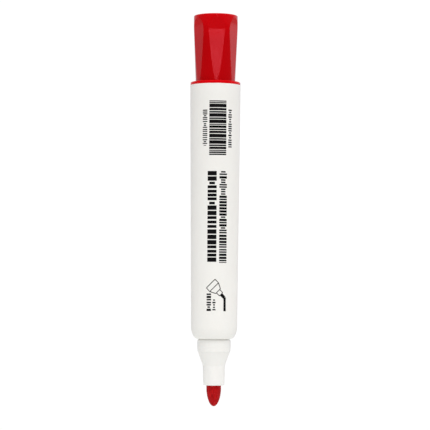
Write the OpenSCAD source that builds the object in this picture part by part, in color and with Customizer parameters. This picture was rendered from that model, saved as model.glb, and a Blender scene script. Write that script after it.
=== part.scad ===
// Whiteboard marker, standing nib down with its cap pushed onto the rear post.
// The nib's tip is at the origin and +Z runs from the nib to the cap; the front faces -Y.

/* [Nib] */
// Diameter of the fibre nib
nib_d = 5.04; // [4.8:0.02:5.1]
// Length of the nib that shows in front of the tube
nib_out = 7.2; // [6.6:0.1:8]
// Length of the nib's rounded bullet point
nib_point = 6.4; // [5.5:0.1:6.5]
// Diameter of the nib's tail, which sits in the ink reservoir
tail_d = 3; // [2:0.1:3.6]
// Length of the nib's tail
tail_len = 4; // [2:0.5:6]

/* [Nib holder] */
// Diameter of the tube at its front end
tube_front_d = 7.2; // [7:0.02:7.3]
// Diameter of the tube a short way behind its front end
tube_mid_d = 7.46; // [7.3:0.02:7.5]
// Diameter of the tube where the cone starts
tube_rear_d = 7.54; // [7.5:0.02:7.56]
// Length of the tube
tube_len = 6.75; // [6:0.05:7.5]
// Radius of the rounding on the tube's front edge
tube_edge = 0.35; // [0.1:0.05:0.45]
// Diameter of the cone's wide end
cone_d = 11.04; // [10.4:0.02:11.1]
// Length of the cone
cone_len = 4.82; // [4:0.02:5.4]
// Diameter of the collar at its two ends
collar_d = 11.22; // [11.1:0.02:11.4]
// Diameter of the bead round the collar, over which the cap snaps
bead_d = 11.56; // [11.42:0.02:11.58]
// Length of the bead's straight land
bead_land = 1.2; // [0.6:0.1:1.6]
// Length of the collar
collar_len = 4.31; // [4:0.01:4.6]
// Diameter of the stem that is pressed into the barrel
stem_d = 10.4; // [9.6:0.1:10.6]
// Length of the stem
stem_len = 9.9; // [8:0.1:9.9]
// Number of ribs that hold the nib in the middle of its bore
nib_ribs = 6; // [3:1:8]

/* [Barrel] */
// Outer diameter of the barrel where its front shoulder starts
barrel_front_d = 15.84; // [15.7:0.02:16.4]
// Outer diameter of the barrel at its rear rim
barrel_rear_d = 17.4; // [17.2:0.05:17.6]
// Length of the barrel
barrel_len = 87.45; // [85:0.05:120]
// Length of the rounded front shoulder
shoulder_len = 4.35; // [3:0.05:5]
// Outer diameter of the flat front face
front_face_d = 11.5; // [11:0.1:12.4]
// Thickness of the barrel's wall
barrel_wall = 1.05; // [0.95:0.05:1.1]
// Number of ribs that centre the ink reservoir
barrel_ribs = 6; // [3:1:8]

/* [Ink reservoir] */
// Diameter of the fibre core
reservoir_d = 13; // [12:0.1:13]
// Thickness of the film wrapped round the core
film_t = 0.1; // [0.05:0.01:0.12]
// Length of bare core left at each end of the film
film_inset = 1; // [0.5:0.5:4]

/* [End plug] */
// Outer diameter of the plug's flange
flange_d = 17.24; // [16.8:0.02:17.4]
// Thickness of the flange
flange_t = 1; // [0.8:0.05:1.6]
// Diameter of the post that holds the cap
post_d = 11.5; // [11.4:0.01:11.58]
// Height of the post above the floor of the cap's seat
post_len = 8.15; // [6:0.05:9]
// Length of the plug inside the barrel, below its flange
plug_len = 8.5; // [7:0.1:9]

/* [Cap] */
// Overall length of the cap
cap_len = 25; // [24.9:0.05:26]
// Outer diameter of the cap at its mouth
cap_mouth_d = 13.49; // [13.3:0.01:13.6]
// Outer diameter of the cap at its closed end
cap_end_d = 15.2; // [14.8:0.02:15.6]
// Length of the straight band at the closed end
cap_band = 3.9; // [3:0.1:5]
// Radius of the rounding round the closed end
cap_edge = 0.6; // [0.3:0.1:0.9]
// Distance across two opposite grip flats
flats_across = 13.74; // [13.6:0.02:14]
// Number of grip flats
flats = 6; // [4:2:8]
// Turn of the cap about its own axis, in degrees
cap_turn = 3; // [-30:1:30]
// Radius of the curve by which a flat runs out towards the closed end
flat_runout = 18; // [12:1:30]
// Distance from the closed end to the start of the run-out
runout_start = 5.56; // [4.5:0.02:6.5]
// Diameter of the cap's bore
cap_bore_d = 11.6; // [11.59:0.005:11.62]
// Depth from the cap's mouth to the mouth of the inner cap
inner_cap_depth = 10.2; // [9.5:0.1:11]

/* [Hidden] */
$fn = 96;

// Gap between pieces that are pressed or laid together
fit = 0.02;
// How far a cutting solid runs past the solid it cuts
over = 1;

nose_front = nib_out;
cone_start = nose_front + tube_len;
collar_start = cone_start + cone_len;
collar_end = collar_start + collar_len;
stem_end = collar_end + stem_len;
barrel_front = collar_end + fit;
barrel_rear = barrel_front + barrel_len;
shoulder_end = barrel_front + shoulder_len;

// The plug's land and the tapered bore in front of it
plug_r = barrel_rear_d / 2 - barrel_wall;
bore_front_r = barrel_front_d / 2 - barrel_wall;
plug_front = barrel_rear - plug_len;
front_wall_end = shoulder_end + 0.2;

nib_body_len = stem_end - 0.2;
reservoir_front = stem_end + fit;
reservoir_rear = plug_front - 2 * fit;
rib_inner_r = reservoir_d / 2 + fit + film_t + 2 * fit;

// The cap's seat: an annular well in the top of the plug, round the post
seat_depth = 1.88;
plug_skin = 0.9;
flange_top = barrel_rear + fit + flange_t;
seat_floor = flange_top - seat_depth;
seat_r = 7;
cap_mouth = seat_floor + fit;
cap_end = cap_mouth + cap_len;

cap_end_wall = 1;
cap_bore_len = cap_len - cap_end_wall;
inner_cap_bore_r = 3.8;
inner_cap_wall = 0.5;
inner_cap_end_wall = 0.6;
retainer_len = 1.6;

// Points along an arc in the plane of a turned profile, from angle a0 to a1
function arc(cx, cy, rx, ry, a0, a1, steps) =
    [for (i = [0 : steps])
        let (a = a0 + (a1 - a0) * i / steps)
        [cx + rx * cos(a), cy + ry * sin(a)]];

// Straight ribs round a bore, each from inner_r outwards
module ribs(count, inner_r, depth, width, z0, z1) {
    for (i = [0 : count - 1])
        rotate([0, 0, i * 360 / count])
            translate([inner_r, -width / 2, z0])
                cube([depth, width, z1 - z0]);
}

// White barrel: turned shell, open at the rear, with a bored front wall and inner ribs
module barrel() {
    front_r = barrel_front_d / 2;
    shoulder = arc(
        front_face_d / 2, shoulder_end,
        front_r - front_face_d / 2, shoulder_len, -90, 0, 12
    );
    rib_depth = plug_r - rib_inner_r + 0.1;
    rim_edge = 0.12;
    color([0.94, 0.93, 0.90]) {
        rotate_extrude()
            polygon(concat(
                [[stem_d / 2 + fit, barrel_front]],
                shoulder,
                [
                    [barrel_rear_d / 2, barrel_rear - rim_edge],
                    [barrel_rear_d / 2 - rim_edge, barrel_rear],
                    [plug_r, barrel_rear],
                    [plug_r, plug_front - 1],
                    [bore_front_r, front_wall_end],
                    [stem_d / 2 + fit, front_wall_end]
                ]
            ));
        ribs(barrel_ribs, rib_inner_r, rib_depth, 0.6, shoulder_end + 6, plug_front - 1);
    }
}

// White nib holder: tube, cone and beaded collar in front, stem pressed into the barrel
module nib_holder() {
    bore_r = nib_d / 2 + 0.4;
    guide_r = nib_d / 2 + fit;
    guide_len = 2;
    bead_mid = collar_start + collar_len * 0.47;
    stem_r = stem_d / 2;
    front_edge = arc(
        tube_front_d / 2 - tube_edge, nose_front + tube_edge,
        tube_edge, tube_edge, -90, 0, 5
    );
    color([0.95, 0.94, 0.92]) {
        rotate_extrude()
            polygon(concat(
                [[guide_r, nose_front]],
                front_edge,
                [
                    [tube_mid_d / 2, nose_front + tube_len / 2],
                    [tube_rear_d / 2, cone_start],
                    [cone_d / 2, collar_start],
                    [collar_d / 2, collar_start],
                    [bead_d / 2, bead_mid - bead_land / 2],
                    [bead_d / 2, bead_mid + bead_land / 2],
                    [collar_d / 2, collar_end - 0.3],
                    [collar_d / 2, collar_end],
                    [stem_r, collar_end],
                    [stem_r, front_wall_end + 0.3],
                    [stem_r + 0.25, front_wall_end + 0.8],
                    [stem_r, front_wall_end + 1.6],
                    [stem_r, stem_end - 0.5],
                    [stem_r - 0.5, stem_end],
                    [bore_r, stem_end],
                    [bore_r, nose_front + guide_len],
                    [guide_r, nose_front + guide_len]
                ]
            ));
        ribs(nib_ribs, guide_r, 0.8, 0.5, nose_front + guide_len - 0.1, stem_end - 1);
    }
}

// Fibre nib: bullet point in front, rod through the holder, thin tail in the reservoir
module nib() {
    point = arc(0, nib_point, nib_d / 2, nib_point, -90, 0, 16);
    color([0.65, 0.10, 0.13])
        rotate_extrude()
            polygon(concat(
                point,
                [
                    [nib_d / 2, nib_body_len - 0.5],
                    [nib_d / 2 - 0.5, nib_body_len],
                    [tail_d / 2, nib_body_len],
                    [tail_d / 2, nib_body_len + tail_len],
                    [0, nib_body_len + tail_len]
                ]
            ));
}

// Fibre core that stores the ink, with a hole in its front end for the nib's tail
module ink_reservoir() {
    tail_hole_end = nib_body_len + tail_len + 2 * fit;
    color([0.78, 0.22, 0.24])
        difference() {
            translate([0, 0, reservoir_front])
                cylinder(d = reservoir_d, h = reservoir_rear - reservoir_front);
            translate([0, 0, reservoir_front - over])
                cylinder(r = tail_d / 2 + fit, h = tail_hole_end - reservoir_front + over);
        }
}

// Clear film wrapped round the fibre core
module reservoir_wrap() {
    inner_r = reservoir_d / 2 + fit;
    z0 = reservoir_front + film_inset;
    z1 = reservoir_rear - film_inset;
    color([0.88, 0.89, 0.90])
        difference() {
            translate([0, 0, z0])
                cylinder(r = inner_r + film_t, h = z1 - z0);
            translate([0, 0, z0 - over])
                cylinder(r = inner_r, h = z1 - z0 + 2 * over);
        }
}

// Red end plug: spigot in the barrel, flange over its rim, seat and hollow post for the cap
module end_plug() {
    post_r = post_d / 2;
    post_top = seat_floor + post_len;
    spigot_r = plug_r - fit;
    spigot_inner_r = spigot_r - 1.4;
    edge = 0.15;
    color([0.85, 0.05, 0.08])
        rotate_extrude()
            polygon([
                [0, post_top - plug_skin],
                [post_r - plug_skin, post_top - plug_skin],
                [post_r - plug_skin, seat_floor - plug_skin],
                [spigot_inner_r, seat_floor - plug_skin],
                [spigot_inner_r, plug_front],
                [spigot_r - 0.3, plug_front],
                [spigot_r, plug_front + 0.8],
                [spigot_r, barrel_rear + fit],
                [flange_d / 2 - edge, barrel_rear + fit],
                [flange_d / 2, barrel_rear + fit + edge],
                [flange_d / 2, flange_top - edge],
                [flange_d / 2 - edge, flange_top],
                [seat_r, flange_top],
                [seat_r, seat_floor],
                [post_r, seat_floor],
                [post_r, post_top - 0.5],
                [post_r - 0.5, post_top],
                [0, post_top]
            ]);
}

// Profile of what is cut away to leave one grip flat and its curved run-out
module flat_profile() {
    flat_r = flats_across / 2;
    runout_z = cap_end - runout_start;
    sweep = asin((runout_start + over) / flat_runout);
    curve = arc(flat_r + flat_runout, runout_z, flat_runout, flat_runout, 180, 180 - sweep, 12);
    far_r = cap_end_d;
    polygon(concat(
        [[flat_r, cap_mouth - over]],
        curve,
        [
            [far_r, cap_end + over],
            [far_r, cap_mouth - over]
        ]
    ));
}

// Red cap: flared shell with grip flats, a straight bore and a ring that holds the inner cap
module cap() {
    end_r = cap_end_d / 2;
    edge = arc(end_r - cap_edge, cap_end - cap_edge, cap_edge, cap_edge, 0, 90, 8);
    bore_r = cap_bore_d / 2;
    bore_end = cap_mouth + cap_bore_len;
    retainer_r = inner_cap_bore_r + inner_cap_wall + fit;
    color([0.76, 0.03, 0.07]) {
        difference() {
            rotate_extrude()
                polygon(concat(
                    [
                        [bore_r + 0.25, cap_mouth],
                        [cap_mouth_d / 2 - 0.1, cap_mouth],
                        [cap_mouth_d / 2, cap_mouth + 0.1],
                        [end_r, cap_end - cap_band]
                    ],
                    edge,
                    [
                        [0, cap_end],
                        [0, bore_end],
                        [retainer_r, bore_end],
                        [retainer_r, bore_end - retainer_len],
                        [retainer_r + 0.6, bore_end - retainer_len],
                        [retainer_r + 0.6, bore_end],
                        [bore_r, bore_end],
                        [bore_r, cap_mouth + 0.25]
                    ]
                ));
            for (i = [0 : flats - 1])
                rotate([0, 0, -90 + cap_turn + i * 360 / flats])
                    rotate([90, 0, 0])
                        linear_extrude(height = cap_end_d, center = true)
                            flat_profile();
        }
    }
}

// Natural-coloured inner cap: a cup whose rim seals on the tube when the cap is in front
module inner_cap() {
    bottom = cap_mouth + inner_cap_depth;
    top = cap_mouth + cap_bore_len - fit;
    inner_r = inner_cap_bore_r;
    outer_r = inner_r + inner_cap_wall;
    color([0.92, 0.91, 0.87])
        rotate_extrude()
            polygon([
                [inner_r + 0.3, bottom],
                [outer_r, bottom],
                [outer_r, top],
                [0, top],
                [0, top - inner_cap_end_wall],
                [inner_r, top - inner_cap_end_wall],
                [inner_r, bottom + 0.8]
            ]);
}

barrel();
nib_holder();
nib();
ink_reservoir();
reservoir_wrap();
end_plug();
cap();
inner_cap();
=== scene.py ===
import math
import random

import bmesh
import bpy
from mathutils import Matrix, Vector, noise


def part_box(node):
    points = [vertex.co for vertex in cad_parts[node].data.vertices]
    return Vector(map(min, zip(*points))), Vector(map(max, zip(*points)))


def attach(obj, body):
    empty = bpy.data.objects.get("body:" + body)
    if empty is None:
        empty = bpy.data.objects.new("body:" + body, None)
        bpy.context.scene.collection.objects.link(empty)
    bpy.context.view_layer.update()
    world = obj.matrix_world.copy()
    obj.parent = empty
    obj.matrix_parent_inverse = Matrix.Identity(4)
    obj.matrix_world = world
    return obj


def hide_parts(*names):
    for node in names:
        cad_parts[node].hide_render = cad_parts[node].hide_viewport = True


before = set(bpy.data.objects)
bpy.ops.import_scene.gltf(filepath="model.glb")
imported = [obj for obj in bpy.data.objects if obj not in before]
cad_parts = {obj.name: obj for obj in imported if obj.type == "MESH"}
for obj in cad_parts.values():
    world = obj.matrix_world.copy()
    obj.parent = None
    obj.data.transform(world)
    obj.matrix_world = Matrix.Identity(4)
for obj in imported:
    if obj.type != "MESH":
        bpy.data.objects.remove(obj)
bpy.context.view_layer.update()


# ---------------------------------------------------------------------------
# Camera
# A long lens on the marker's printed front, a little below its middle and tipped up.
# The marker leans very slightly to the right in the view.
# ---------------------------------------------------------------------------
camera_distance = 0.6469
camera_tip_up = math.radians(2.3)
camera_roll = math.radians(0.325)
aim_height = 0.06575
aim_side = 0.0001
lens_length = 157.0
film_width = 36.0

camera_data = bpy.data.cameras.new("studio_camera")
camera_data.sensor_width = film_width
camera_data.lens = lens_length
camera_data.clip_start = 0.01
camera_data.clip_end = 50.0
camera = bpy.data.objects.new("studio_camera", camera_data)
bpy.context.scene.collection.objects.link(camera)
look = Vector((0.0, math.cos(camera_tip_up), math.sin(camera_tip_up)))
camera.location = Vector((aim_side, 0.0, aim_height)) - look * camera_distance
camera.rotation_mode = "QUATERNION"
camera.rotation_quaternion = (
    look.to_track_quat("-Z", "Y").to_matrix() @ Matrix.Rotation(camera_roll, 3, "Z")
).to_quaternion()
bpy.context.scene.camera = camera


# ---------------------------------------------------------------------------
# Barrel
# Injection-moulded white polypropylene shell with a satin skin. It widens slightly towards the
# open rear, has a rounded shoulder in front, and straight inner ribs that centre the reservoir.
# ---------------------------------------------------------------------------
mm = 0.001
mm_per_metre = 1000
weld_distance = 0.0001
sharp_angle = math.radians(35)


def ends(cad_node):
    """A CAD piece's lowest and highest point, in millimetres."""
    return [corner.z * mm_per_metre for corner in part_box(cad_node)]


def outline(bm, corners, longest=4.0, arc_steps=6):
    """Draws a turned piece's outline in the XZ plane, in millimetres.

    Each corner is (radius, height, rounding). An outline whose two ends lie on the axis stays open.
    """
    wear = bm.verts.layers.float.new("wear")
    points = [bm.verts.new((radius, 0, height)) for radius, height, _ in corners]
    for a, b in zip(points, points[1:]):
        bm.edges.new((a, b))
    if corners[0][0] > 0:
        bm.edges.new((points[-1], points[0]))
    for point, (_, _, rounding) in zip(points, corners):
        if not rounding:
            continue
        rounded = bmesh.ops.bevel(
            bm, geom=[point], offset=rounding, offset_type="OFFSET", segments=arc_steps,
            profile=0.5, affect="VERTICES", material=-1,
        )
        for vert in rounded["verts"]:
            vert[wear] = 1.0
    for edge in [e for e in bm.edges if e.calc_length() > longest]:
        cuts = int(edge.calc_length() / longest)
        bmesh.ops.subdivide_edges(bm, edges=[edge], cuts=cuts)


def turn(bm, steps=144):
    """Spins the outline once round the axis and closes its seam and poles."""
    bmesh.ops.spin(
        bm, geom=bm.verts[:] + bm.edges[:], cent=(0, 0, 0), axis=(0, 0, 1),
        angle=math.tau, steps=steps, use_merge=True,
    )
    bmesh.ops.remove_doubles(bm, verts=bm.verts, dist=weld_distance)
    bmesh.ops.recalc_face_normals(bm, faces=bm.faces)


def add_ribs(bm, count, inner, depth, width, bottom, top):
    """Adds straight ribs round a bore, each from the inner radius outwards."""
    for i in range(count):
        rib = bmesh.ops.create_cube(bm, size=1.0)["verts"]
        bmesh.ops.scale(bm, vec=(depth, width, top - bottom), verts=rib)
        bmesh.ops.translate(bm, vec=(inner + depth / 2, 0, (top + bottom) / 2), verts=rib)
        turned = Matrix.Rotation(math.tau * i / count, 3, "Z")
        bmesh.ops.rotate(bm, cent=(0, 0, 0), matrix=turned, verts=rib)


def finish_piece(bm, name, material, body, cad_node=None):
    """Makes the finished mesh an object in metres, dresses it and hands it to its body."""
    bmesh.ops.scale(bm, vec=(mm, mm, mm), verts=bm.verts)
    for face in bm.faces:
        face.smooth = True
    mesh = bpy.data.meshes.new(name)
    bm.to_mesh(mesh)
    bm.free()
    mesh.set_sharp_from_angle(angle=sharp_angle)
    mesh.materials.append(material)
    piece = bpy.data.objects.new(name, mesh)
    bpy.context.scene.collection.objects.link(piece)
    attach(piece, body)
    if cad_node:
        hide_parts(cad_node)


def node(tree, kind, values=(), **settings):
    """Adds a node with its settings, and sets or links its inputs from (socket, value) pairs."""
    made = tree.nodes.new(kind)
    for key, value in settings.items():
        setattr(made, key, value)
    for key, value in values:
        if isinstance(value, bpy.types.NodeSocket):
            tree.links.new(value, made.inputs[key])
        else:
            made.inputs[key].default_value = value
    return made


def object_place(tree):
    """The place on the piece, in metres."""
    return node(tree, "ShaderNodeTexCoord").outputs["Object"]


def cloud_noise(tree, place, scale, detail, roughness=0.5):
    """A cloudy value that changes over the piece."""
    return node(
        tree, "ShaderNodeTexNoise",
        [("Vector", place), ("Scale", scale), ("Detail", detail), ("Roughness", roughness)],
    ).outputs["Fac"]


def remap(tree, value, old=(0.0, 1.0), new=(0.0, 1.0), **settings):
    """Carries a value over from its old range to a new one."""
    return node(
        tree, "ShaderNodeMapRange",
        [
            ("Value", value), ("From Min", old[0]), ("From Max", old[1]),
            ("To Min", new[0]), ("To Max", new[1]),
        ],
        **settings,
    ).outputs["Result"]


def calculate(tree, operation, *values, **settings):
    """One step of arithmetic on shader values."""
    return node(
        tree, "ShaderNodeMath", enumerate(values), operation=operation, **settings,
    ).outputs[0]


def blend_colours(tree, share, first, second):
    """Goes from the first colour to the second by a share."""
    return node(
        tree, "ShaderNodeMix", [("Factor", share), (6, first), (7, second)], data_type="RGBA",
    ).outputs[2]


def moulded_surface():
    """The skin of a moulded piece: faint mottle, fine grain, hairline scuffs and worn edges."""
    group = bpy.data.node_groups.new("moulded_surface", "ShaderNodeTree")
    for label, kind, value in (
        ("Colour", "NodeSocketColor", (0.8, 0.8, 0.8, 1)),
        ("Worn Colour", "NodeSocketColor", (0.9, 0.9, 0.9, 1)),
        ("Base Roughness", "NodeSocketFloat", 0.3),
        ("Grain", "NodeSocketFloat", 0.1),
        ("Scuffs", "NodeSocketFloat", 0.3),
    ):
        made = group.interface.new_socket(label, in_out="INPUT", socket_type=kind)
        made.default_value = value
    for label, kind in (
        ("Colour", "NodeSocketColor"),
        ("Roughness", "NodeSocketFloat"),
        ("Normal", "NodeSocketVector"),
    ):
        group.interface.new_socket(label, in_out="OUTPUT", socket_type=kind)
    given = node(group, "NodeGroupInput").outputs

    place = object_place(group)
    mottle = cloud_noise(group, place, scale=140.0, detail=3.0, roughness=0.55)
    grain = cloud_noise(group, place, scale=1500.0, detail=2.0)
    stretched = node(
        group, "ShaderNodeMapping",
        [("Vector", place), ("Rotation", (0.25, 0.1, 0.0)), ("Scale", (1.0, 1.0, 0.035))],
    ).outputs["Vector"]
    hairs = cloud_noise(group, stretched, scale=2600.0, detail=1.0)
    hair_lines = remap(group, hairs, old=(0.66, 0.74))
    patches = remap(group, mottle, old=(0.45, 0.62))
    scuffs = calculate(group, "MULTIPLY", hair_lines, patches)
    scuffs = calculate(group, "MULTIPLY", scuffs, given["Scuffs"])
    edge = node(group, "ShaderNodeAttribute", attribute_name="wear").outputs["Fac"]
    edge = calculate(group, "MULTIPLY", edge, grain)
    edge = calculate(group, "MULTIPLY", edge, given["Scuffs"])
    worn = calculate(group, "MAXIMUM", scuffs, edge)

    shade = remap(group, mottle, new=(0.975, 1.02))
    toned = node(
        group, "ShaderNodeVectorMath", [(0, given["Colour"]), ("Scale", shade)], operation="SCALE",
    ).outputs["Vector"]
    colour = blend_colours(group, worn, toned, given["Worn Colour"])
    rough = remap(group, mottle, new=(-0.03, 0.03))
    rough = calculate(group, "ADD", rough, given["Base Roughness"])
    rough = calculate(group, "MULTIPLY_ADD", worn, 0.35, rough, use_clamp=True)
    height = calculate(group, "MULTIPLY_ADD", mottle, 6.0, grain)
    bump = node(
        group, "ShaderNodeBump",
        [("Strength", given["Grain"]), ("Distance", 0.00002), ("Height", height)],
    ).outputs["Normal"]
    node(group, "NodeGroupOutput", [("Colour", colour), ("Roughness", rough), ("Normal", bump)])
    return group


moulded_group = moulded_surface()


def moulded_plastic(name, colour, worn_colour, roughness, grain, scuffs, **fixed):
    """A plastic made with the moulded surface group; fixed values go on the shader itself."""
    plastic = bpy.data.materials.new(name)
    plastic.use_nodes = True
    tree = plastic.node_tree
    shader = tree.nodes["Principled BSDF"]
    skin = node(
        tree, "ShaderNodeGroup",
        [
            ("Colour", (*colour, 1)), ("Worn Colour", (*worn_colour, 1)),
            ("Base Roughness", roughness), ("Grain", grain), ("Scuffs", scuffs),
        ],
        node_tree=moulded_group,
    )
    tree.links.new(skin.outputs["Colour"], shader.inputs["Base Color"])
    tree.links.new(skin.outputs["Roughness"], shader.inputs["Roughness"])
    tree.links.new(skin.outputs["Normal"], shader.inputs["Normal"])
    for label, value in fixed.items():
        shader.inputs[label.replace("_", " ")].default_value = value
    return plastic


barrel_front, barrel_rear = ends("barrel")
shoulder_length = 4.35
shoulder_radius = 2.17
shoulder_end = barrel_front + shoulder_length
shoulder_corner = shoulder_end - shoulder_radius
barrel_front_radius = 7.92
barrel_rear_radius = 8.7
barrel_taper = (barrel_rear_radius - barrel_front_radius) / (barrel_rear - shoulder_end)
opening_radius = 5.22
plug_bore_radius = 7.65
plug_bore_front = barrel_rear - 9.5
front_wall_end = shoulder_end + 0.2
front_bore_radius = 6.87
rib_count = 6
rib_inner_radius = 6.68
rib_depth = 1.07
rib_width = 0.6
rib_front = shoulder_end + 6

worn_white = (0.9, 0.89, 0.87)
white_scatter = (0.0012, 0.001, 0.0009)
polypropylene_ior = 1.49
white_polypropylene = moulded_plastic(
    "white_polypropylene", (0.82, 0.818, 0.768), worn_white,
    roughness=0.36, grain=0.25, scuffs=0.25,
    Subsurface_Weight=0.06, Subsurface_Radius=white_scatter, Subsurface_Scale=1.0,
    IOR=polypropylene_ior,
)

bm = bmesh.new()
outline(bm, [
    (opening_radius, shoulder_corner, 0.06),
    (barrel_front_radius - barrel_taper * shoulder_radius, shoulder_corner, shoulder_radius),
    (barrel_rear_radius, barrel_rear, 0.12),
    (plug_bore_radius, barrel_rear, 0.1),
    (plug_bore_radius, plug_bore_front, 0),
    (front_bore_radius, front_wall_end, 0.3),
    (opening_radius, front_wall_end, 0.1),
], arc_steps=10)
front_end = [v for v in bm.verts if v.co.z < shoulder_end]
bmesh.ops.scale(
    bm, vec=(1, 1, shoulder_length / shoulder_radius), verts=front_end,
    space=Matrix.Translation((0, 0, -shoulder_end)),
)
turn(bm)
add_ribs(bm, rib_count, rib_inner_radius, rib_depth, rib_width, rib_front, plug_bore_front)
finish_piece(bm, "barrel_shell", white_polypropylene, "marker_body", "barrel")


# ---------------------------------------------------------------------------
# Printing on the barrel
# One pass of black pad-printed ink on the front: a block of plain bars, rows of plain strokes
# where a maker prints words, and a line drawing of a bullet tip. The ink is a thin raised film.
# ---------------------------------------------------------------------------
ink_film = 0.012
ink_root = 0.03
ink_facet = 0.4
shortest_stroke = 0.2


def barrel_radius(height):
    """Outer radius of the barrel at a height, in millimetres."""
    return barrel_front_radius + barrel_taper * (height - shoulder_end)


def ink_patch(bm, left, right, bottom, top, turned=0.0):
    """A flat patch of ink, in millimetres round the barrel and up it, turned in its plane."""
    width, height = right - left, top - bottom
    columns = max(1, round(width / ink_facet))
    rows = max(1, round(height / ink_facet)) if turned else 1
    patch = bmesh.ops.create_grid(bm, x_segments=columns, y_segments=rows, size=0.5)["verts"]
    bmesh.ops.scale(bm, vec=(width, height, 1), verts=patch)
    bmesh.ops.rotate(bm, cent=(0, 0, 0), matrix=Matrix.Rotation(turned, 3, "Z"), verts=patch)
    bmesh.ops.translate(bm, vec=((left + right) / 2, (bottom + top) / 2, 0), verts=patch)


def ink_line(bm, start, end, width):
    """A straight inked line between two points on the barrel's unrolled face."""
    run = Vector(end) - Vector(start)
    middle = (Vector(end) + Vector(start)) / 2
    half = run.length / 2
    ink_patch(
        bm, middle.x - half, middle.x + half, middle.y - width / 2, middle.y + width / 2,
        turned=math.atan2(run.y, run.x),
    )


def ink_row(bm, left, right, bottom, top, strokes, seed):
    """A row of plain strokes down the barrel, each picked at random from a few kinds."""
    pick = random.Random(seed)
    height = top
    while height - bottom > shortest_stroke:
        thick, gap, share = pick.choice(strokes)
        thick = min(thick, height - bottom)
        inset = (right - left) * (1 - share) / 2
        ink_patch(bm, left + inset, right - inset, height - thick, height)
        height -= thick + gap


# Strokes to choose from in each row: (thickness, gap after it, share of the row's width).
bar_strokes = [(1.2, 0.24, 1), (0.55, 0.2, 1), (0.36, 0.2, 1), (0.8, 0.26, 1)]
bold_strokes = [(1.0, 0.3, 1), (1.5, 0.32, 1), (0.9, 0.36, 0.62), (1.0, 0.5, 1)]
text_strokes = [(0.52, 0.27, 1), (0.5, 0.3, 0.6), (0.52, 0.42, 1), (0.8, 0.25, 1)]
small_strokes = [(0.38, 0.25, 1), (0.38, 0.25, 0.55), (0.34, 0.4, 1)]
digit_strokes = [(0.45, 0.3, 1), (0.45, 0.36, 0.6), (0.5, 0.34, 1)]

# Each row's left, right, bottom and top edge, round the barrel and up it.
bar_block = (-2.03, 3.93, 85.9, 104.54)
bold_row = (-2.5, 0.62, 49.14, 80.43)
text_row = (1.57, 4.28, 49.14, 80.43)
left_row = (-4.45, -2.75, 89.1, 101.42)
right_row = (4.75, 6.15, 88.6, 101.56)
upper_tip_row = (-2.64, -1.1, 32.5, 38.7)
lower_tip_row = (-0.6, 0.45, 32.6, 36.7)

bm = bmesh.new()
for place, strokes, seed in (
    (bar_block, bar_strokes, 5), (bold_row, bold_strokes, 3), (text_row, text_strokes, 8),
    (left_row, small_strokes, 2), (right_row, digit_strokes, 4),
    (upper_tip_row, text_strokes, 6), (lower_tip_row, digit_strokes, 9),
):
    ink_row(bm, *place, strokes, seed)

# The tip drawing, in millimetres along its slanted axis and to either side of it.
diagonal = 0.7071
tip_origin = Vector((-1.25, 42.05))
tip_run = Vector((diagonal, -diagonal))
tip_across = Vector((diagonal, diagonal))
tip_end = 6.75
holder_side = 2.1
holder_step = 1.7
holder_end = 3.6
holder_end_side = 1.15
tube_side = 0.8
tube_end = 5.1
thin_line = 0.26
nib_line = 1.1
drawn_line = 0.85
drawn_from = (3.66, 37.4)
drawn_to = (3.66, 32.7)


def tip_point(along, across):
    """A point of the tip drawing, measured along and across its slanted axis."""
    return tip_origin + tip_run * along + tip_across * across


tip_outline = [
    (0, -holder_side), (holder_step, -holder_side), (holder_end, -holder_end_side),
    (holder_end, holder_end_side), (holder_step, holder_side), (0, holder_side),
    (0, -holder_side),
]
tube_outline = [
    (holder_end, -tube_side), (tube_end, -tube_side), (tube_end, tube_side),
    (holder_end, tube_side),
]
step_line = [(holder_step, -holder_side), (holder_step, holder_side)]
for loop in (tip_outline, tube_outline, step_line):
    for a, b in zip(loop, loop[1:]):
        ink_line(bm, tip_point(*a), tip_point(*b), thin_line)
ink_line(bm, tip_point(tube_end, 0), tip_point(tip_end, 0), nib_line)
ink_line(bm, drawn_from, drawn_to, drawn_line)

raised = bmesh.ops.extrude_face_region(bm, geom=bm.faces[:])
lifted = [item for item in raised["geom"] if isinstance(item, bmesh.types.BMVert)]
bmesh.ops.translate(bm, vec=(0, 0, ink_film + ink_root), verts=lifted)
for vert in bm.verts:
    around, height, depth = vert.co
    radius = barrel_radius(height) + depth - ink_root
    angle = around / barrel_radius(height)
    vert.co = (radius * math.sin(angle), -radius * math.cos(angle), height)
bmesh.ops.recalc_face_normals(bm, faces=bm.faces)

printing_ink = bpy.data.materials.new("printing_ink")
printing_ink.use_nodes = True
ink_tree = printing_ink.node_tree
ink_shader = ink_tree.nodes["Principled BSDF"]
ink_cover = cloud_noise(ink_tree, object_place(ink_tree), scale=2200.0, detail=3.0)
ink_tone = blend_colours(
    ink_tree, ink_cover, (0.001, 0.001, 0.0012, 1), (0.006, 0.006, 0.0065, 1),
)
ink_rough = remap(ink_tree, ink_cover, new=(0.4, 0.6))
ink_tree.links.new(ink_tone, ink_shader.inputs["Base Color"])
ink_tree.links.new(ink_rough, ink_shader.inputs["Roughness"])
ink_shader.inputs["Specular IOR Level"].default_value = 0.08
finish_piece(bm, "barrel_printing", printing_ink, "marker_body")


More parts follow.
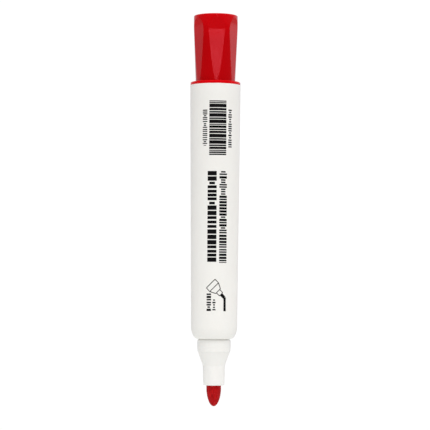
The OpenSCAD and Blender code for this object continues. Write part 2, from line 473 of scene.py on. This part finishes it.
# ---------------------------------------------------------------------------
# Nib holder
# White polypropylene nose: a tube round the nib, a cone, and a collar whose bead the cap snaps
# over. Its stem is pressed into the barrel's front wall, and ribs in its bore grip the nib.
# ---------------------------------------------------------------------------
nose_front, stem_end = ends("nib_holder")
tube_middle = nose_front + 3.4
cone_start = nose_front + 6.75
collar_start = cone_start + 4.82
collar_end = collar_start + 4.31
collar_face = collar_end - 0.1
bead_middle = collar_start + 2.03
bead_foot = bead_middle - 0.85
bead_crest = bead_middle - 0.25
guide_end = nose_front + 2
grip_rib_front = nose_front + 1.9
grip_rib_rear = stem_end - 1
guide_radius = 2.54
nib_bore_radius = 2.92
tube_front_radius = 3.6
tube_middle_radius = 3.73
tube_rear_radius = 3.77
cone_end_radius = 5.52
collar_radius = 5.65
bead_foot_radius = 5.68
bead_radius = 5.78
collar_end_radius = 5.7
stem_radius = 5.2
stem_bead = 0.25
stem_bead_start = front_wall_end + 0.3
stem_bead_crest = front_wall_end + 0.8
stem_bead_end = front_wall_end + 1.6
grip_rib_depth = 0.8
grip_rib_width = 0.5

nose_polypropylene = moulded_plastic(
    "nose_polypropylene", (0.82, 0.818, 0.773), worn_white,
    roughness=0.34, grain=0.25, scuffs=0.25,
    Subsurface_Weight=0.08, Subsurface_Radius=white_scatter, Subsurface_Scale=1.0,
    IOR=polypropylene_ior,
)

bm = bmesh.new()
outline(bm, [
    (guide_radius, nose_front, 0.12),
    (tube_front_radius, nose_front, 0.4),
    (tube_middle_radius, tube_middle, 1.2),
    (tube_rear_radius, cone_start, 0.35),
    (cone_end_radius, collar_start, 0.04),
    (collar_radius, collar_start, 0.05),
    (bead_foot_radius, bead_foot, 0.3),
    (bead_radius, bead_crest, 0.3),
    (collar_end_radius, collar_face, 0.65),
    (stem_radius, collar_face, 0),
    (stem_radius, stem_bead_start, 0),
    (stem_radius + stem_bead, stem_bead_crest, 0.1),
    (stem_radius, stem_bead_end, 0),
    (stem_radius, stem_end, 0.5),
    (nib_bore_radius, stem_end, 0.1),
    (nib_bore_radius, guide_end, 0),
    (guide_radius, guide_end, 0),
], longest=1.5)
turn(bm)
add_ribs(
    bm, rib_count, guide_radius, grip_rib_depth, grip_rib_width, grip_rib_front, grip_rib_rear,
)
finish_piece(bm, "nose_cone", nose_polypropylene, "marker_body", "nib_holder")


# ---------------------------------------------------------------------------
# Nib
# Bonded polyester fibre rod, ground to a bullet point and soaked with red ink. Its fibres run
# along it; the ground point shows their cut ends. It is pushed into the nib holder.
# ---------------------------------------------------------------------------
nib_tip, tail_end = ends("nib")
nib_radius = 2.52
point_length = 6.4
nib_body_end = stem_end - 0.2
nib_body_chamfer = 0.5
tail_radius = 1.5
tail_step = 0.01
fibre_relief = 0.035
relief_sink = 0.4
relief_end = nose_front - 0.3
relief_tilt = 0.35
streaks_across = 5.0
streaks_along = 0.9
crumb_scale = 4.2
crumb_shift = Vector((7, 3, 1))
axis_gap = 0.001

bm = bmesh.new()
bmesh.ops.create_uvsphere(bm, u_segments=144, v_segments=128, radius=nib_radius)
bmesh.ops.scale(bm, vec=(1, 1, point_length / nib_radius), verts=bm.verts)
upper_half = [v for v in bm.verts if v.co.z > axis_gap]
bmesh.ops.delete(bm, geom=upper_half, context="VERTS")
bmesh.ops.translate(bm, vec=(0, 0, nib_tip + point_length), verts=bm.verts)
for vert in bm.verts:
    x, y, z = vert.co
    streak = noise.noise(Vector((x * streaks_across, y * streaks_across, z * streaks_along)))
    crumb = noise.noise(vert.co * crumb_scale + crumb_shift)
    out = Vector((x, y, (z - point_length) * relief_tilt))
    if out.length > axis_gap and z < relief_end:
        vert.co += out.normalized() * (streak + crumb - relief_sink) * fibre_relief


def draw_out(bm, rim, height, radius):
    """Draws an open round rim up to a height and radius, and returns the new rim."""
    made = bmesh.ops.extrude_edge_only(bm, edges=rim)["geom"]
    ring = [item for item in made if isinstance(item, bmesh.types.BMVert)]
    for vert in ring:
        across = Vector((vert.co.x, vert.co.y, 0)).normalized() * radius
        vert.co = (across.x, across.y, height)
    return [item for item in made if isinstance(item, bmesh.types.BMEdge)]


rim = [e for e in bm.edges if e.is_boundary]
for height, radius in (
    (nose_front + 1, nib_radius),
    (nib_body_end - nib_body_chamfer, nib_radius),
    (nib_body_end, nib_radius - nib_body_chamfer),
    (nib_body_end + tail_step, tail_radius),
    (tail_end, tail_radius),
):
    rim = draw_out(bm, rim, height, radius)
bmesh.ops.holes_fill(bm, edges=rim)
bmesh.ops.recalc_face_normals(bm, faces=bm.faces)


def fibre_material(name, deep, wet, fleck, run_scale, cross_scale):
    """Ink-soaked bonded fibre: streaks along the rod, dark gaps and pale flecks of cut fibre."""
    fibre = bpy.data.materials.new(name)
    fibre.use_nodes = True
    tree = fibre.node_tree
    shader = tree.nodes["Principled BSDF"]
    place = object_place(tree)
    along = node(
        tree, "ShaderNodeMapping", [("Vector", place), ("Scale", (1.0, 1.0, run_scale))],
    ).outputs["Vector"]
    streaks = cloud_noise(tree, along, scale=cross_scale, detail=4.0, roughness=0.6)
    crumbs = cloud_noise(tree, place, scale=cross_scale * 0.8, detail=3.0, roughness=0.6)
    depth = remap(tree, streaks, old=(0.35, 0.65))
    soaked = blend_colours(tree, depth, (*deep, 1), (*wet, 1))
    flecks = remap(tree, crumbs, old=(0.62, 0.72), new=(0.0, 0.8))
    flecked = blend_colours(tree, flecks, soaked, (*fleck, 1))
    rough = remap(tree, crumbs, new=(0.55, 0.85))
    relief = calculate(tree, "MULTIPLY_ADD", crumbs, 0.8, streaks)
    bump = node(
        tree, "ShaderNodeBump", [("Strength", 0.7), ("Distance", 0.00012), ("Height", relief)],
    ).outputs["Normal"]
    tree.links.new(flecked, shader.inputs["Base Color"])
    tree.links.new(rough, shader.inputs["Roughness"])
    tree.links.new(bump, shader.inputs["Normal"])
    shader.inputs["Specular Tint"].default_value = (1.0, 0.12, 0.12, 1)
    shader.inputs["Specular IOR Level"].default_value = 0.25
    return fibre


soaked_nib = fibre_material(
    "soaked_nib",
    deep=(0.3, 0.0045, 0.006), wet=(0.46, 0.0075, 0.0085), fleck=(0.62, 0.05, 0.055),
    run_scale=0.25, cross_scale=2600.0,
)
finish_piece(bm, "nib_rod", soaked_nib, "marker_body", "nib")


# ---------------------------------------------------------------------------
# Ink reservoir and its film
# A rod of crimped fibre that holds the ink, wrapped in thin clear film. It lies in the barrel
# between the nib holder and the end plug, and the nib's tail stands in its front end.
# ---------------------------------------------------------------------------
def dress(cad_node, material):
    """Gives a CAD piece that stays as it is a better material."""
    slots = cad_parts[cad_node].data.materials
    slots.clear()
    slots.append(material)


reservoir_fibre = fibre_material(
    "reservoir_fibre",
    deep=(0.36, 0.02, 0.03), wet=(0.55, 0.05, 0.06), fleck=(0.75, 0.3, 0.3),
    run_scale=0.1, cross_scale=900.0,
)
dress("ink_reservoir", reservoir_fibre)

clear_film = moulded_plastic(
    "clear_film", (0.9, 0.91, 0.92), (0.95, 0.95, 0.95),
    roughness=0.12, grain=0.1, scuffs=0.2, Alpha=0.4,
)
dress("reservoir_wrap", clear_film)


# ---------------------------------------------------------------------------
# End plug
# Glossy red polypropylene. Its spigot is pressed into the barrel, its flange covers the rim and
# shows as a red ring, and its hollow post stands in a round seat that takes the cap's mouth.
# ---------------------------------------------------------------------------
plug_front, post_top = ends("end_plug")
flange_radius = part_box("end_plug")[1].x * mm_per_metre
flange_bottom = barrel_rear + 0.02
flange_top = flange_bottom + 1
seat_floor = flange_top - 1.88
seat_radius = 7.0
post_radius = 5.75
plug_skin = 0.9
spigot_radius = plug_bore_radius - 0.02
spigot_inner_radius = spigot_radius - 1.4
spigot_chamfer = 0.3
spigot_chamfer_length = 0.8
gate_radius = 1.0
gate_depth = 0.15
gate_draft = 0.08

red_scatter = (0.0012, 0.0002, 0.0002)
plug_red = moulded_plastic(
    "plug_red", (0.65, 0.0004, 0.002), (0.72, 0.01, 0.02),
    roughness=0.14, grain=0.1, scuffs=0.2, Specular_Tint=(1.0, 0.02, 0.03, 1),
    Subsurface_Weight=0.08, Subsurface_Radius=red_scatter, Subsurface_Scale=1.0,
    IOR=polypropylene_ior,
)

bm = bmesh.new()
outline(bm, [
    (0, post_top - plug_skin, 0),
    (post_radius - plug_skin, post_top - plug_skin, 0.3),
    (post_radius - plug_skin, seat_floor - plug_skin, 0.1),
    (spigot_inner_radius, seat_floor - plug_skin, 0.2),
    (spigot_inner_radius, plug_front, 0.1),
    (spigot_radius - spigot_chamfer, plug_front, 0.1),
    (spigot_radius, plug_front + spigot_chamfer_length, 0),
    (spigot_radius, flange_bottom, 0),
    (flange_radius, flange_bottom, 0.05),
    (flange_radius, flange_top, 0.2),
    (seat_radius, flange_top, 0.08),
    (seat_radius, seat_floor, 0.1),
    (post_radius, seat_floor, 0.1),
    (post_radius, post_top, 0.5),
    (gate_radius, post_top, 0.05),
    (gate_radius - gate_draft, post_top - gate_depth, 0.05),
    (0, post_top - gate_depth, 0),
], longest=2.0)
turn(bm)
finish_piece(bm, "rear_plug", plug_red, "marker_body", "end_plug")


# ---------------------------------------------------------------------------
# Cap
# Polished red polypropylene shell that flares towards its closed end. Six flat grips run nearly
# parallel to the axis and curve out to the round rim. At rest it is pushed onto the plug's post.
# ---------------------------------------------------------------------------
cap_mouth, cap_end = ends("cap")
cap_mouth_radius = 6.745
cap_end_radius = 7.6
cap_flare_end = cap_end - 3.9
cap_bore_radius = 5.8
cap_bore_end = cap_end - 1.0
cap_bore_chamfer = 0.25
cup_ring_radius = 4.32
cup_ring_outer_radius = cup_ring_radius + 0.6
cup_ring_front = cap_bore_end - 1.6
flat_count = 6
flat_sector = math.tau / flat_count
flat_distance = 6.81
flat_lean = 0.0055
flat_lean_start = 3
runout_start = cap_end - 5.95
runout_radius = 18.0
crease_softness = 0.02
crease_wear = 0.8
crease_wear_width = 0.04
cap_turn = math.radians(3)
cap_front = cap_turn - math.pi / 2
cap_columns = 216
sector_columns = 18
flat_columns = 12
least_flat_angle = math.radians(5)
outside_radius = cap_bore_radius + 0.3
on_axis = 0.01

# Painted light: the cap's base colour runs from a darker red low on the cap to a lighter red at its
# closed end. This stands in for the stronger light that falls on its upper part.
painted_shade_red = (0.44, 0.0004, 0.0016)
painted_lit_red = (0.575, 0.0004, 0.002)
painted_light_from = 0.125
# The worn colour is a lighter red for real scuffs and worn edges. On the rounded rim at the closed
# end it also serves as a faint painted highlight.
cap_red = moulded_plastic(
    "cap_red", painted_shade_red, (0.6, 0.01, 0.015),
    roughness=0.1, grain=0.05, scuffs=0.15, Specular_Tint=(0.7, 0.13, 0.17, 1),
    Subsurface_Weight=0.04, Subsurface_Radius=red_scatter, Subsurface_Scale=1.0,
    IOR=polypropylene_ior,
)
cap_tree = cap_red.node_tree
cap_height = node(
    cap_tree, "ShaderNodeSeparateXYZ", [("Vector", object_place(cap_tree))],
).outputs["Z"]
# Painted light gradient: a lighter red with height up the cap, over the shaded lower red.
painted_light_share = remap(cap_tree, cap_height, old=(painted_light_from, cap_end / mm_per_metre))
cap_painted_light_tone = blend_colours(cap_tree, painted_light_share, (*painted_shade_red, 1), (*painted_lit_red, 1))
cap_skin = next(n for n in cap_tree.nodes if n.type == "GROUP")
cap_tree.links.new(cap_painted_light_tone, cap_skin.inputs["Colour"])

bm = bmesh.new()
outline(bm, [
    (0, cap_bore_end, 0),
    (cup_ring_radius, cap_bore_end, 0),
    (cup_ring_radius, cup_ring_front, 0.1),
    (cup_ring_outer_radius, cup_ring_front, 0.1),
    (cup_ring_outer_radius, cap_bore_end, 0),
    (cap_bore_radius, cap_bore_end, 0.3),
    (cap_bore_radius, cap_mouth + cap_bore_chamfer, 0.05),
    (cap_bore_radius + cap_bore_chamfer, cap_mouth, 0.08),
    (cap_mouth_radius, cap_mouth, 0.12),
    (cap_end_radius, cap_flare_end, 1.0),
    (cap_end_radius, cap_end, 0.32),
    (gate_radius, cap_end, 0.05),
    (gate_radius - gate_draft, cap_end - gate_depth, 0.05),
    (0, cap_end - gate_depth, 0),
], longest=0.45)
bmesh.ops.rotate(
    bm, cent=(0, 0, 0), matrix=Matrix.Rotation(cap_front, 3, "Z"), verts=bm.verts,
)
turn(bm, cap_columns)


def flat_limit(height):
    """Distance from the axis to a grip flat, which curves outwards near the closed end."""
    rise = max(0.0, height - runout_start)
    leaning = flat_distance + flat_lean * (height - cap_mouth - flat_lean_start)
    return leaning + runout_radius - math.sqrt(runout_radius ** 2 - rise ** 2)


def softer_least(a, b):
    """The lesser of two sizes, blended where they meet."""
    gap = abs(a - b)
    return min(a, b) - crease_softness * math.log1p(math.exp(-gap / crease_softness))


wear = bm.verts.layers.float["wear"]
for vert in bm.verts:
    radius = math.hypot(vert.co.x, vert.co.y)
    if radius < on_axis:
        continue
    turned = math.atan2(vert.co.y, vert.co.x) - cap_front
    flat_middle = round(turned / flat_sector) * flat_sector
    column = (turned - flat_middle) / flat_sector * 2 * sector_columns
    limit = flat_limit(vert.co.z)
    half_flat = max(least_flat_angle, math.acos(min(1.0, limit / radius)))
    if abs(column) <= flat_columns:
        share = math.sin(abs(column) / flat_columns * math.pi / 2)
        angle = math.atan(math.tan(half_flat) * share)
    else:
        past_flat = (abs(column) - flat_columns) / (sector_columns - flat_columns)
        share = 1 - math.cos(past_flat * math.pi / 2)
        angle = half_flat + (flat_sector / 2 - half_flat) * share
    if radius > outside_radius:
        flat = limit / math.cos(angle)
        crease = math.exp(-(((flat - radius) / crease_wear_width) ** 2))
        vert[wear] = max(vert[wear], crease * crease_wear)
        radius = softer_least(radius, flat)
    angle = math.copysign(angle, column) + flat_middle + cap_front
    vert.co.x = radius * math.cos(angle)
    vert.co.y = radius * math.sin(angle)
finish_piece(bm, "cap_shell", cap_red, "cap_body", "cap")


# ---------------------------------------------------------------------------
# Inner cap
# Soft cup of natural polyethylene, pushed into a ring inside the cap's closed end. Its rim seals
# round the nib holder's tube when the cap is on the front of the marker.
# ---------------------------------------------------------------------------
cup_rim, cup_end = ends("inner_cap")
cup_inner_radius = 3.8
cup_outer_radius = 4.3
cup_floor = cup_end - 0.6
cup_lip_end = cup_rim + 0.8
cup_lip_flare = 0.3
cup_columns = 96
cup_scatter = (0.0015, 0.0013, 0.001)

natural_polyethylene = moulded_plastic(
    "natural_polyethylene", (0.82, 0.8, 0.72), (0.88, 0.87, 0.82),
    roughness=0.42, grain=0.3, scuffs=0.2,
    Subsurface_Weight=0.2, Subsurface_Radius=cup_scatter, Subsurface_Scale=1.0,
)

bm = bmesh.new()
outline(bm, [
    (0, cup_floor, 0),
    (cup_inner_radius, cup_floor, 0.4),
    (cup_inner_radius, cup_lip_end, 0.2),
    (cup_inner_radius + cup_lip_flare, cup_rim, 0.08),
    (cup_outer_radius, cup_rim, 0.08),
    (cup_outer_radius, cup_end, 0.2),
    (0, cup_end, 0),
], longest=2.0)
turn(bm, cup_columns)
finish_piece(bm, "seal_cup", natural_polyethylene, "cap_body", "inner_cap")


# ---------------------------------------------------------------------------
# Floor
# A plain white floor that glows softly, most of all under the marker. It is seen as one even
# white, and the gloss on the marker mirrors it at half its strength.
# ---------------------------------------------------------------------------
floor_size = 40.0
pool_start = 0.05
pool_end = 0.35
pool_strength = 1.18
floor_strength = 0.74
mirrored_loss = -0.5
plain_white = 1.03

white_floor = bpy.data.materials.new("white_floor")
white_floor.use_nodes = True
floor_tree = white_floor.node_tree
floor_tree.nodes.clear()
floor_reach = node(
    floor_tree, "ShaderNodeVectorMath", [(0, object_place(floor_tree))], operation="LENGTH",
).outputs["Value"]
floor_pool = remap(
    floor_tree, floor_reach, old=(pool_start, pool_end), new=(pool_strength, floor_strength),
    interpolation_type="SMOOTHSTEP",
)
floor_path = node(floor_tree, "ShaderNodeLightPath").outputs
floor_mirrored = calculate(
    floor_tree, "MULTIPLY_ADD", floor_path["Is Glossy Ray"], mirrored_loss, 1.0,
)
floor_pool = calculate(floor_tree, "MULTIPLY", floor_pool, floor_mirrored)
floor_pool = node(
    floor_tree, "ShaderNodeMix",
    [("Factor", floor_path["Is Camera Ray"]), ("A", floor_pool), ("B", plain_white)],
).outputs["Result"]
floor_glow = node(
    floor_tree, "ShaderNodeEmission", [("Color", (1, 1, 1, 1)), ("Strength", floor_pool)],
).outputs["Emission"]
node(floor_tree, "ShaderNodeOutputMaterial", [("Surface", floor_glow)])

bm = bmesh.new()
bmesh.ops.create_grid(bm, x_segments=8, y_segments=8, size=floor_size / 2)
floor_mesh = bpy.data.meshes.new("floor")
bm.to_mesh(floor_mesh)
bm.free()
floor_mesh.materials.append(white_floor)
floor = bpy.data.objects.new("floor", floor_mesh)
bpy.context.scene.collection.objects.link(floor)


# ---------------------------------------------------------------------------
# Light
# A pale room that is dark low down in front and a little brighter on the right. Softboxes stand
# in front, on the left and overhead, and a small lamp is there for the cap's front grip to mirror.
# ---------------------------------------------------------------------------
room_strength = 0.95
front_strength = 0.17
middle_share = 0.8
side_share = 0.14
room_tint = (1.0, 0.965, 1.02, 1)

world = bpy.data.worlds.new("pale_room")
bpy.context.scene.world = world
world.use_nodes = True
room = world.node_tree
room.nodes.clear()
towards = node(room, "ShaderNodeTexCoord").outputs["Generated"]
towards = node(room, "ShaderNodeSeparateXYZ", [("Vector", towards)]).outputs
low_down = remap(room, towards["Z"], old=(0.2, 0.12))
in_front = remap(room, towards["Y"], old=(0.36, 0.12))
dark_front = calculate(room, "MULTIPLY", low_down, in_front)
brightness = remap(room, dark_front, new=(room_strength, front_strength))
sideways = calculate(room, "MULTIPLY_ADD", towards["X"], side_share, middle_share)
brightness = calculate(room, "MULTIPLY", brightness, sideways)
room_light = node(
    room, "ShaderNodeBackground", [("Color", room_tint), ("Strength", brightness)],
).outputs["Background"]
room_seen = node(
    room, "ShaderNodeBackground", [("Color", (1, 1, 1, 1)), ("Strength", plain_white)],
).outputs["Background"]
seen = node(room, "ShaderNodeLightPath").outputs["Is Camera Ray"]
room_mix = node(
    room, "ShaderNodeMixShader", [("Fac", seen), (1, room_light), (2, room_seen)],
).outputs["Shader"]
node(room, "ShaderNodeOutputWorld", [("Surface", room_mix)])

light_distance = 1.2
softbox_size = (0.6, 0.6)
grip_lamp_size = (0.09, 0.07)
warm_white = (1.0, 0.985, 0.96)


def light_panel(name, azimuth, elevation, height, radiance, size=softbox_size, colour=(1, 1, 1)):
    """A lit panel, placed by azimuth (right of the front) and elevation seen from a height."""
    azimuth, elevation = math.radians(azimuth), math.radians(elevation)
    centre = Vector((0, 0, height))
    away = Vector((
        math.sin(azimuth) * math.cos(elevation),
        -math.cos(azimuth) * math.cos(elevation),
        math.sin(elevation),
    ))
    width, tall = size
    data = bpy.data.lights.new(name, "AREA")
    data.shape = "RECTANGLE"
    data.size = width
    data.size_y = tall
    data.energy = radiance * math.pi * width * tall
    data.color = colour
    panel = bpy.data.objects.new(name, data)
    bpy.context.scene.collection.objects.link(panel)
    panel.location = centre + away * light_distance
    panel.rotation_mode = "QUATERNION"
    panel.rotation_quaternion = (-away).to_track_quat("-Z", "Y")
    panel.visible_camera = False


light_panel(
    "front_softbox", azimuth=12, elevation=53, height=0.07, radiance=5.6, colour=warm_white,
)
light_panel("left_softbox", azimuth=-60, elevation=45, height=0.07, radiance=0.95)
light_panel("top_softbox", azimuth=0, elevation=82, height=0.1, radiance=2.0)
light_panel(
    "grip_lamp", azimuth=6.0, elevation=6.4, height=0.121, radiance=7.0, size=grip_lamp_size,
)

bpy.context.scene.view_settings.view_transform = "Standard"
